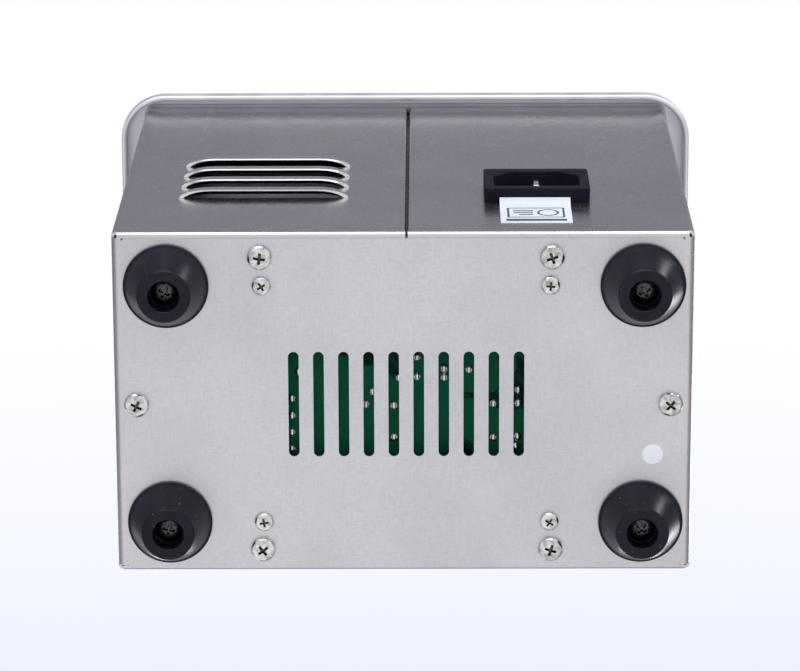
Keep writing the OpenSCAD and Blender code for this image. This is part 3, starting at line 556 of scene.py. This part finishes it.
solder = metal("tin solder", "#F6F7FA", "#C9CBD1", 0.2, 0.36, 1.4, 0.02)
board_low = 17.8
bpy.ops.mesh.primitive_circle_add(vertices=20, radius=1.35 * MM, fill_type="NGON")
joint = bpy.context.object
bpy.ops.object.mode_set(mode="EDIT")
pick(joint, "faces", lambda f: True)
dome = ((0.3, 0.98), (0.35, 0.92), (0.3, 0.84), (0.22, 0.72), (0.14, 0.55), (0.05, 0.4))
for drop, shrink in dome:
    extrude(0, 0, -drop * MM)
    scale(shrink)
bpy.ops.mesh.select_all(action="SELECT")
bpy.ops.mesh.normals_make_consistent(inside=False)
bpy.ops.object.mode_set(mode="OBJECT")
bpy.ops.object.shade_smooth_by_angle(angle=math.radians(50))
joint_places = [
    (31.4, 0.1), (31.4, -4.9), (31.5, -9.9), (31.5, -14.9), (29.3, 8.0), (8.6, 2.1),
    (10.6, -1.7), (2.7, -2.0), (2.7, -11.4), (1.2, 6.2), (-3.8, 12.3), (-3.8, 6.5),
    (-11.4, 8.8), (-11.4, 6.2), (-18.4, 8.5), (-25.2, -1.5), (-25.2, -11.5),
    (-32.2, 2.6), (-32.2, -1.4), (-32.0, -11.2), (-31.4, -14.2), (20.2, 10.6),
    (20.2, -9.0), (27.2, -6.2), (-21.8, -3.5), (13.2, -14.4), (-14.8, -13.5),
]
joint_z = board_low - 0.005
made = [
    copy_to(joint, (x * MM, y * MM, joint_z * MM), turn=0.5 * n)
    for n, (x, y) in enumerate(joint_places)
]
bpy.data.objects.remove(joint)
settle(join(made, "solder_joints"), "root", "clip_tin", solder)

# Mains inlet: a snap-in C14 socket moulded in black glass-filled nylon, its edges slightly
# rounded, with three nickel-plated brass blades in the hollow.


def moulded(name, light_tone, dark_tone, rough, grain, relief, **values):
    """A moulded plastic, rubber or ceramic: fine grain left by its mould and a slow drift
    of tone."""
    made, tree, shader = surface(name, **values)
    drift = noise(tree, 14, 3)
    spark = noise(tree, grain, 2)
    drive(
        tree,
        shader,
        Base_Color=tones(tree, drift, (0.35, dark_tone), (0.65, light_tone)),
        Roughness=span(tree, spark, 0.3, 0.7, rough - 0.05, rough + 0.07),
        Normal=bump(tree, spark, 0.5, relief),
    )
    return made


def soften(node, name, width, body, slot, material, segments=2):
    """A copy of a CAD node, its triangles merged and its sharp edges rounded."""
    piece = bpy.data.objects.new(name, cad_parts[node].data.copy())
    scene.collection.objects.link(piece)
    only(piece)
    bpy.ops.mesh.customdata_custom_splitnormals_clear()
    bpy.ops.object.mode_set(mode="EDIT")
    bpy.ops.mesh.select_all(action="SELECT")
    bpy.ops.mesh.remove_doubles(threshold=0.002 * MM)
    bpy.ops.mesh.dissolve_limited(angle_limit=math.radians(0.5))
    bpy.ops.object.mode_set(mode="OBJECT")
    edge = piece.modifiers.new("rounded edges", "BEVEL")
    edge.width = width * MM
    edge.segments = segments
    edge.limit_method = "ANGLE"
    edge.angle_limit = math.radians(32)
    edge.use_clamp_overlap = True
    bpy.ops.object.modifier_apply(modifier="rounded edges")
    bpy.ops.object.shade_smooth_by_angle(angle=math.radians(40))
    return settle(piece, body, slot, material, node)


black_nylon = moulded(
    "black moulded nylon", "#1A1B26", "#14151E", 0.4, 0.25, 0.01, Specular_IOR_Level=0.05
)
soften("inlet_socket", "inlet_shell", 0.35, "root", "inlet_black", black_nylon)
soften("inlet_pins", "inlet_blades", 0.2, "root", "clip_tin", nickel)

# Rear label: coated white film, stuck flat to the wall with its top end lifted by the
# inlet. Its print is plain: a frame, a ring and a bar, screened in dark grey ink.
label_w, label_low, label_top, back_y = 20.1, 22.4, 45.7, 49.5
label_x, label_z = -37.4, (label_low + label_top) / 2
film_y = back_y + 0.1
bpy.ops.mesh.primitive_grid_add(
    x_subdivisions=2,
    y_subdivisions=40,
    size=1,
    location=(label_x * MM, film_y * MM, label_z * MM),
    rotation=(math.radians(90), 0, 0),
)
label = bpy.context.object
label.name = "rear_label_film"
label.scale = (label_w * MM, (label_top - label_low) * MM, 1)
bpy.ops.object.transform_apply(location=True, rotation=True, scale=True)
bpy.ops.object.mode_set(mode="EDIT")
lift_from, lift_rise, lift_push = 39.3, 0.75, 0.04
for step in range(1, 9):
    height = (lift_from + step * lift_rise) * MM
    pick(label, "verts", lambda v: v.co.z > height)
    bpy.ops.transform.translate(value=(0, step * lift_push * MM, 0))
bpy.ops.mesh.select_all(action="SELECT")
bpy.ops.mesh.normals_make_consistent(inside=False)
bpy.ops.object.mode_set(mode="OBJECT")
film = label.modifiers.new("film", "SOLIDIFY")
film.thickness = 0.12 * MM
film.offset = 0
bpy.ops.object.modifier_apply(modifier="film")
bpy.ops.object.shade_smooth_by_angle(angle=math.radians(40))
white_film = moulded("coated white label film", "#E0E9F1", "#D8E2EC", 0.42, 0.4, 0.004)
settle(label, "root", "label_white", white_film, "rear_label")

ink_y, ink_t = (back_y + 0.17) * MM, 0.02 * MM


def printed(x, z, width, tall, line, corners=4, y=ink_y, facing=1):
    """A flat printed or painted shape on a wall that faces +Y or -Y. It is filled, or an
    outline of that width where line isn't zero."""
    bpy.ops.mesh.primitive_circle_add(
        vertices=corners,
        radius=0.5 if corners > 4 else math.sqrt(0.5),
        fill_type="NGON",
        rotation=(0, 0, math.radians(45) if corners == 4 else 0),
    )
    shape = bpy.context.object
    bpy.ops.object.transform_apply(location=True, rotation=True, scale=True)
    shape.rotation_euler.x = math.radians(-90 * facing)
    shape.scale = (width * MM, tall * MM, 1)
    shape.location = (x * MM, y, z * MM)
    bpy.ops.object.transform_apply(location=True, rotation=True, scale=True)
    bpy.ops.object.mode_set(mode="EDIT")
    bpy.ops.mesh.select_all(action="SELECT")
    if line:
        bpy.ops.mesh.inset(thickness=line * MM)
        bpy.ops.mesh.delete(type="FACE")
        bpy.ops.mesh.select_all(action="SELECT")
    extrude(0, ink_t * facing, 0)
    bpy.ops.mesh.select_all(action="SELECT")
    bpy.ops.mesh.normals_make_consistent(inside=False)
    bpy.ops.object.mode_set(mode="OBJECT")
    shape.name = "ink"
    return shape


grey_ink = moulded("grey screen ink", "#4F545E", "#454A53", 0.5, 0.3, 0.003)
marks = [
    printed(label_x, 25.6, 17, 2.2, 0),
    printed(label_x, 33.8, 16.2, 10.8, 0.6),
    printed(label_x - 3.4, 33.8, 6.2, 7.2, 0.65, 32),
    printed(label_x + 3.6, 36.0, 5.6, 0.9, 0),
    printed(label_x + 3.6, 33.8, 5.6, 0.9, 0),
    printed(label_x + 2.8, 31.6, 4.0, 0.9, 0),
]
settle(join(marks, "label_print"), "root", "label_white", grey_ink)

# Inspection sticker: a round of clear film with matt lacquer, 5.8 mm across.
sticker_r, sticker_t = 2.9, 0.12
bpy.ops.mesh.primitive_cylinder_add(
    vertices=48,
    radius=sticker_r * MM,
    depth=sticker_t * MM,
    location=(-69.9 * MM, -14.8 * MM, (base_z - sticker_t / 2 - 0.005) * MM),
)
sticker = bpy.context.object
sticker.name = "inspection_dot"
bpy.ops.object.mode_set(mode="EDIT")
pick(sticker, "faces", lambda f: f.normal.z < -0.9)
bpy.ops.mesh.inset(thickness=0.25 * MM)
bpy.ops.transform.translate(value=(0, 0, -0.02 * MM))
bpy.ops.object.mode_set(mode="OBJECT")
lacquer = moulded("matt clear film", "#F0F3FC", "#E8EBF6", 0.5, 0.3, 0.004)
settle(sticker, "root", "label_white", lacquer, "inspection_sticker")

# Tank: one deep-drawn stainless pan with a rolled rim, on a silicone seal. Its satin finish
# spreads reflections widely, with faint patches of tone from the press.
drawn = metal("satin drawn stainless", "#E4E4EA", "#DADAE2", 0.5, 0.6, 9, 0.01)
cover(drawn, "tank")
seal = moulded("grey silicone seal", "#C9C8D2", "#BBBAC6", 0.55, 0.4, 0.01)
cover(seal, "tank_seal")

# Lid: the same pressed steel, brighter. Its knob is turned and fluted phenolic, held from
# inside by one screw.
cover(metal("bright pressed stainless", "#DEDDE1", "#D0CFD4", 0.1, 0.2, 11, 0.05), "lid")
phenolic = moulded("black phenolic", "#17171B", "#0F0F13", 0.28, 0.5, 0.01)
bpy.ops.mesh.primitive_cylinder_add(
    vertices=72, radius=8 * MM, depth=1.2 * MM, location=(0, 0, 180.6 * MM)
)
knob = bpy.context.object
knob.name = "fluted_knob"
bpy.ops.object.transform_apply(location=True)
bpy.ops.object.mode_set(mode="EDIT")
pick(knob, "faces", lambda f: f.normal.z > 0.9)
radius, height = 8.0, 181.2
for new_radius, new_height in (
    (7.2, 182.2), (6.5, 184.0), (6.4, 187.0), (8.8, 188.6), (12.2, 190.0), (13.2, 190.9),
    (13.4, 192.4), (13.4, 195.6), (13.1, 196.9), (12.2, 197.8), (10.4, 198.5),
    (7.6, 198.8), (4.0, 198.95), (0.6, 199.0),
):
    extrude(0, 0, (new_height - height) * MM)
    scale(new_radius / radius)
    radius, height = new_radius, new_height
flutes, columns_each, grip_r = 24, 3, 12.9
column = math.radians(360 / flutes / columns_each)
pick(
    knob,
    "verts",
    lambda v: v.co.xy.length > grip_r * MM
    and round(math.atan2(v.co.y, v.co.x) / column) % columns_each == 0,
)
scale(0.95)
bpy.ops.object.mode_set(mode="OBJECT")
bpy.ops.object.shade_smooth_by_angle(angle=math.radians(32))
settle(knob, "lid", "inlet_black", phenolic, "lid_knob")

# Control panel: a dark blue-grey ABS fascia with a fine spark texture and screened marks,
# a red acrylic window over a four-digit display, three grey keys and a rocker switch.
fascia_abs = moulded("dark textured ABS", "#2A303D", "#232834", 0.45, 0.3, 0.03)
soften("front_fascia", "panel_fascia", 0.45, "root", "fascia_dark", fascia_abs, 3)
acrylic, tree, shader = surface(
    "red acrylic", Transmission_Weight=0.85, IOR=1.49, Roughness=0.05
)
tint = tones(tree, noise(tree, 16, 2), (0.3, "#A01018"), (0.7, "#AE161E"))
drive(tree, shader, Base_Color=tint)
cover(acrylic, "display_window")
epoxy = moulded("black moulded epoxy", "#1B1B1D", "#141416", 0.5, 0.25, 0.02)
soften("display_module", "display_block", 0.3, "root", "package_black", epoxy)

lit, tree, shader = surface("lit red segments", Emission_Strength=2.2, Roughness=0.4)
glowing = tones(tree, noise(tree, 2, 1), (0.3, "#F03024"), (0.7, "#FF4630"))
drive(tree, shader, Base_Color=glowing, Emission_Color=glowing)


def screened(x, z, width, tall, line, corners=4, y=-51.5):
    """A mark on the front, which faces -Y."""
    return printed(x, z, width, tall, line, corners, y * MM, -1)


window_x, window_z, digit_y, digit_pitch = -20, 75, -48.15, 9.4
stroke_long, stroke_wide = 4.3, 0.95
strokes = {
    "a": (0, 5, 0), "b": (2.7, 2.5, 1), "c": (2.7, -2.5, 1), "d": (0, -5, 0),
    "e": (-2.7, -2.5, 1), "f": (-2.7, 2.5, 1), "g": (0, 0, 0),
}
digits = {"0": "abcdef", "1": "bc", "8": "abcdefg"}
segments = []
for position, digit in enumerate("0180"):
    centre = window_x + (position - 1.5) * digit_pitch
    for stroke in digits[digit]:
        dx, dz, upright = strokes[stroke]
        width = stroke_wide if upright else stroke_long
        tall = stroke_long if upright else stroke_wide
        segments.append(screened(centre + dx, window_z + dz, width, tall, 0, 6, digit_y))
settle(join(segments, "display_digits"), "root", "window_red", lit)

key_grey = moulded("light grey ABS key", "#CBCCD2", "#BFC0C7", 0.4, 0.3, 0.015)
pale_ink = moulded("pale screen ink", "#D4D8E0", "#C6CAD3", 0.5, 0.3, 0.003)
key_z, key_pitch, key_mark_y, thin_line = 51, 18, -53.18, 0.3
switch_x, switch_z, switch_reach = 34, 66, 16.5
panel = [
    screened(0, switch_z, 107, 53, 0.35),
    screened(window_x, window_z, 52, 24, thin_line),
    screened(switch_x, switch_z + switch_reach, 9, 0.5, 0),
    screened(switch_x, switch_z - switch_reach, 9, 0.5, 0),
]
for step, (body, corners, turn) in enumerate(
    (("button_time_down", 3, -1), ("button_start", 32, 1), ("button_time_up", 3, 1))
):
    x = window_x + (step - 1) * key_pitch
    panel.append(screened(x, key_z, 14.2, 14.2, thin_line, 48))
    key = body.removeprefix("button_")
    soften(body, "key_" + key, 0.25, body, "button_grey", key_grey)
    line = 0 if corners == 3 else 0.55
    mark = screened(x, key_z, 3.4, 3.0 * turn, line, corners, key_mark_y)
    mark.name = "mark_" + key
    settle(mark, body, "fascia_dark", grey_ink)
tick_z, tick_pitch = 60.6, 4
for tick in range(-5, 6):
    tall = 1.1 if tick % 5 else 2
    panel.append(screened(window_x + tick * tick_pitch, tick_z, 0.35, tall, 0))
settle(join(panel, "panel_print"), "root", "fascia_dark", pale_ink)

soften("rocker_housing", "switch_housing", 0.3, "root", "inlet_black", black_nylon)
soften("rocker", "switch_rocker", 0.3, "rocker", "inlet_black", black_nylon)
white_paint = moulded("white pad print", "#E6E8EC", "#DADCE1", 0.45, 0.3, 0.004)
marks = []
for width, tall, line, corners, y, z, tilt in (
    (0.55, 2.6, 0, 4, -52.46, 69.95, 11.2),
    (2.6, 2.6, 0.45, 24, -51.39, 61.22, 2.8),
):
    mark = screened(switch_x, 0, width, tall, line, corners, 0)
    mark.rotation_euler.x = math.radians(tilt)
    mark.location = (0, y * MM, z * MM)
    marks.append(mark)
settle(join(marks, "rocker_marks"), "rocker", "label_white", white_paint)

# Parts inside the casing: transformer, inductor, capacitors, cooling, fuse and plugs on
# the board, the earth stud, and the transducer glued under the tank.
ferrite = moulded("sintered ferrite", "#3B3B40", "#2C2C31", 0.6, 0.8, 0.05)
soften("transformer_core", "ferrite_core", 0.4, "root", "ferrite", ferrite)


def bands(tree, width, direction="X", **values):
    """Even bands fixed to the piece, each so many millimetres wide."""
    place = add(tree, "ShaderNodeTexCoord").outputs["Object"]
    band_at_scale_one = 0.16
    values["Scale"] = band_at_scale_one / (width * MM)
    wave = add(tree, "ShaderNodeTexWave", values, {0: place}, bands_direction=direction)
    return wave.outputs[0]


copper, tree, shader = surface(
    "enamelled copper wire", Metallic=0.85, Coat_Weight=0.5, Roughness=0.3
)
# Painted shade: each band is darker at its edges, in the grooves where one turn meets the next.
wound = bands(tree, 0.5, "Z", Distortion=0.4, Detail=1)
drive(
    tree,
    shader,
    Base_Color=tones(tree, wound, (0.1, "#5E2E12"), (0.6, "#C4743A")),
    Normal=bump(tree, wound, 0.9, 0.25),
)
soften("transformer_winding", "wound_coil", 0.4, "root", "copper_wire", copper)
cover(copper, "tuning_inductor")
sleeve = moulded("blue shrink sleeve", "#26345E", "#1B264A", 0.3, 2.0, 0.02)
cover(sleeve, "bulk_capacitor")
dipped = moulded("red dipped epoxy", "#B4382A", "#9B2C20", 0.25, 1.5, 0.05)
soften("film_capacitors", "dipped_capacitors", 0.8, "root", "film_red", dipped, 3)
aluminium = metal("extruded aluminium", "#D6D8DC", "#BFC1C6", 0.28, 0.45, 2.5)
soften("heat_sink", "finned_sink", 0.2, "root", "sink_aluminium", aluminium)
cover(aluminium, "transducer_front_mass")
soften("power_transistors", "transistor_cases", 0.25, "root", "package_black", epoxy)
soften("bridge_rectifier", "bridge_case", 0.4, "root", "package_black", epoxy)
soften("tact_switches", "tact_switch_cases", 0.25, "root", "package_black", epoxy)
glass, tree, shader = surface(
    "clear fuse glass", Base_Color="#EEF2F2", Transmission_Weight=0.9, IOR=1.52
)
drive(tree, shader, Roughness=span(tree, noise(tree, 3, 2), 0, 1, 0.02, 0.12))
cover(glass, "mains_fuse")
tin = metal("tinned brass", "#E0E0DC", "#B9B8B2", 0.2, 0.4, 1.2)
cover(tin, "fuse_clips")
nylon = moulded("natural nylon", "#EDE9DC", "#DFDACA", 0.45, 0.5, 0.02, Subsurface_Weight=0.1)
soften("board_connectors", "board_plugs", 0.3, "root", "connector_cream", nylon)
brass = metal("turned brass", "#D9B36A", "#B48C48", 0.2, 0.36, 1.5)
cover(brass, "board_spacers", "rocker_terminals", "earth_terminal", "electrode_plates")
steel = metal("turned steel", "#A9A9AC", "#88888C", 0.25, 0.42, 3)
cover(steel, "transducer_back_mass", "transducer_bolt")
ceramic = moulded("fired piezo ceramic", "#DDD6C2", "#CEC7B2", 0.55, 0.6, 0.02)
cover(ceramic, "piezo_rings")
resin = moulded("filled epoxy bond", "#4A4A50", "#3C3C42", 0.4, 1.2, 0.1)
cover(resin, "transducer_bond")

# Leads: stranded wire in glossy PVC, and one flat ribbed cable, held by their terminals.
cover(moulded("brown PVC", "#70401F", "#603418", 0.35, 1.5, 0.02), "mains_leads")
cover(moulded("red PVC", "#B01C18", "#981612", 0.35, 1.5, 0.02), "transducer_leads")
pvc, tree, shader = surface("green and yellow PVC", Roughness=0.35)
stripe = bands(tree, 2.5, Distortion=0.6)
drive(tree, shader, Base_Color=tones(tree, stripe, (0.45, "#2E7A2A"), (0.55, "#D2C21E")))
cover(pvc, "earth_lead")
flat_cable, tree, shader = surface("ribbed grey PVC", Roughness=0.45)
# Painted shade: the grooves between the ribs are painted a darker grey.
ribs = bands(tree, 1.27)
drive(
    tree,
    shader,
    Base_Color=tones(tree, ribs, (0.1, "#7E7E84"), (0.5, "#A5A5AB")),
    Normal=bump(tree, ribs, 0.8, 0.3),
)
cover(flat_cable, "ribbon_cable")

# Basket: a pan of stainless wire mesh, 0.55 mm wire 3.4 mm apart, spot-welded to a frame of
# 2.6 mm wire that carries its handles and feet.
bright_wire = metal("electropolished wire", "#DCDBDD", "#B9B8BB", 0.14, 0.3, 2.2)
cover(bright_wire, "basket_frame")
low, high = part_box("basket_mesh")
bpy.ops.mesh.primitive_cube_add(size=1, location=(low + high) / 2)
pan = bpy.context.object
pan.name = "basket_weave"
inset = 0.6 * MM
pan.scale = high - low - 2 * Vector((inset, inset, inset))
bpy.ops.object.transform_apply(location=True, rotation=False, scale=True)
bpy.ops.object.mode_set(mode="EDIT")
pick(pan, "faces", lambda f: f.normal.z > 0.9)
bpy.ops.mesh.delete(type="FACE")
pick(pan, "edges", lambda e: abs(e.verts[0].co.z - e.verts[1].co.z) > 10 * MM)
corner_r, floor_r, wire_pitch, wire_t = 13 * MM, 5 * MM, 3.4 * MM, 0.55 * MM
bpy.ops.mesh.bevel(offset=corner_r, segments=6, affect="EDGES")
pick(pan, "edges", lambda e: max(v.co.z for v in e.verts) < low.z + 2 * MM)
bpy.ops.mesh.bevel(offset=floor_r, segments=3, affect="EDGES")
for axis in range(3):
    length = high[axis] - low[axis]
    count = round(length / wire_pitch)
    for n in range(1, count):
        point = [0, 0, 0]
        point[axis] = low[axis] + n * length / count
        normal = [0, 0, 0]
        normal[axis] = 1
        bpy.ops.mesh.select_all(action="SELECT")
        bpy.ops.mesh.bisect(plane_co=point, plane_no=normal)
bpy.ops.object.mode_set(mode="OBJECT")
mesh_wire = pan.modifiers.new("mesh wire", "WIREFRAME")
mesh_wire.thickness = wire_t
mesh_wire.use_even_offset = False
mesh_wire.use_boundary = True
bpy.ops.object.modifier_apply(modifier="mesh wire")
bpy.ops.object.shade_smooth_by_angle(angle=math.radians(80))
settle(pan, "basket", "basket_wire", bright_wire, "basket_mesh")
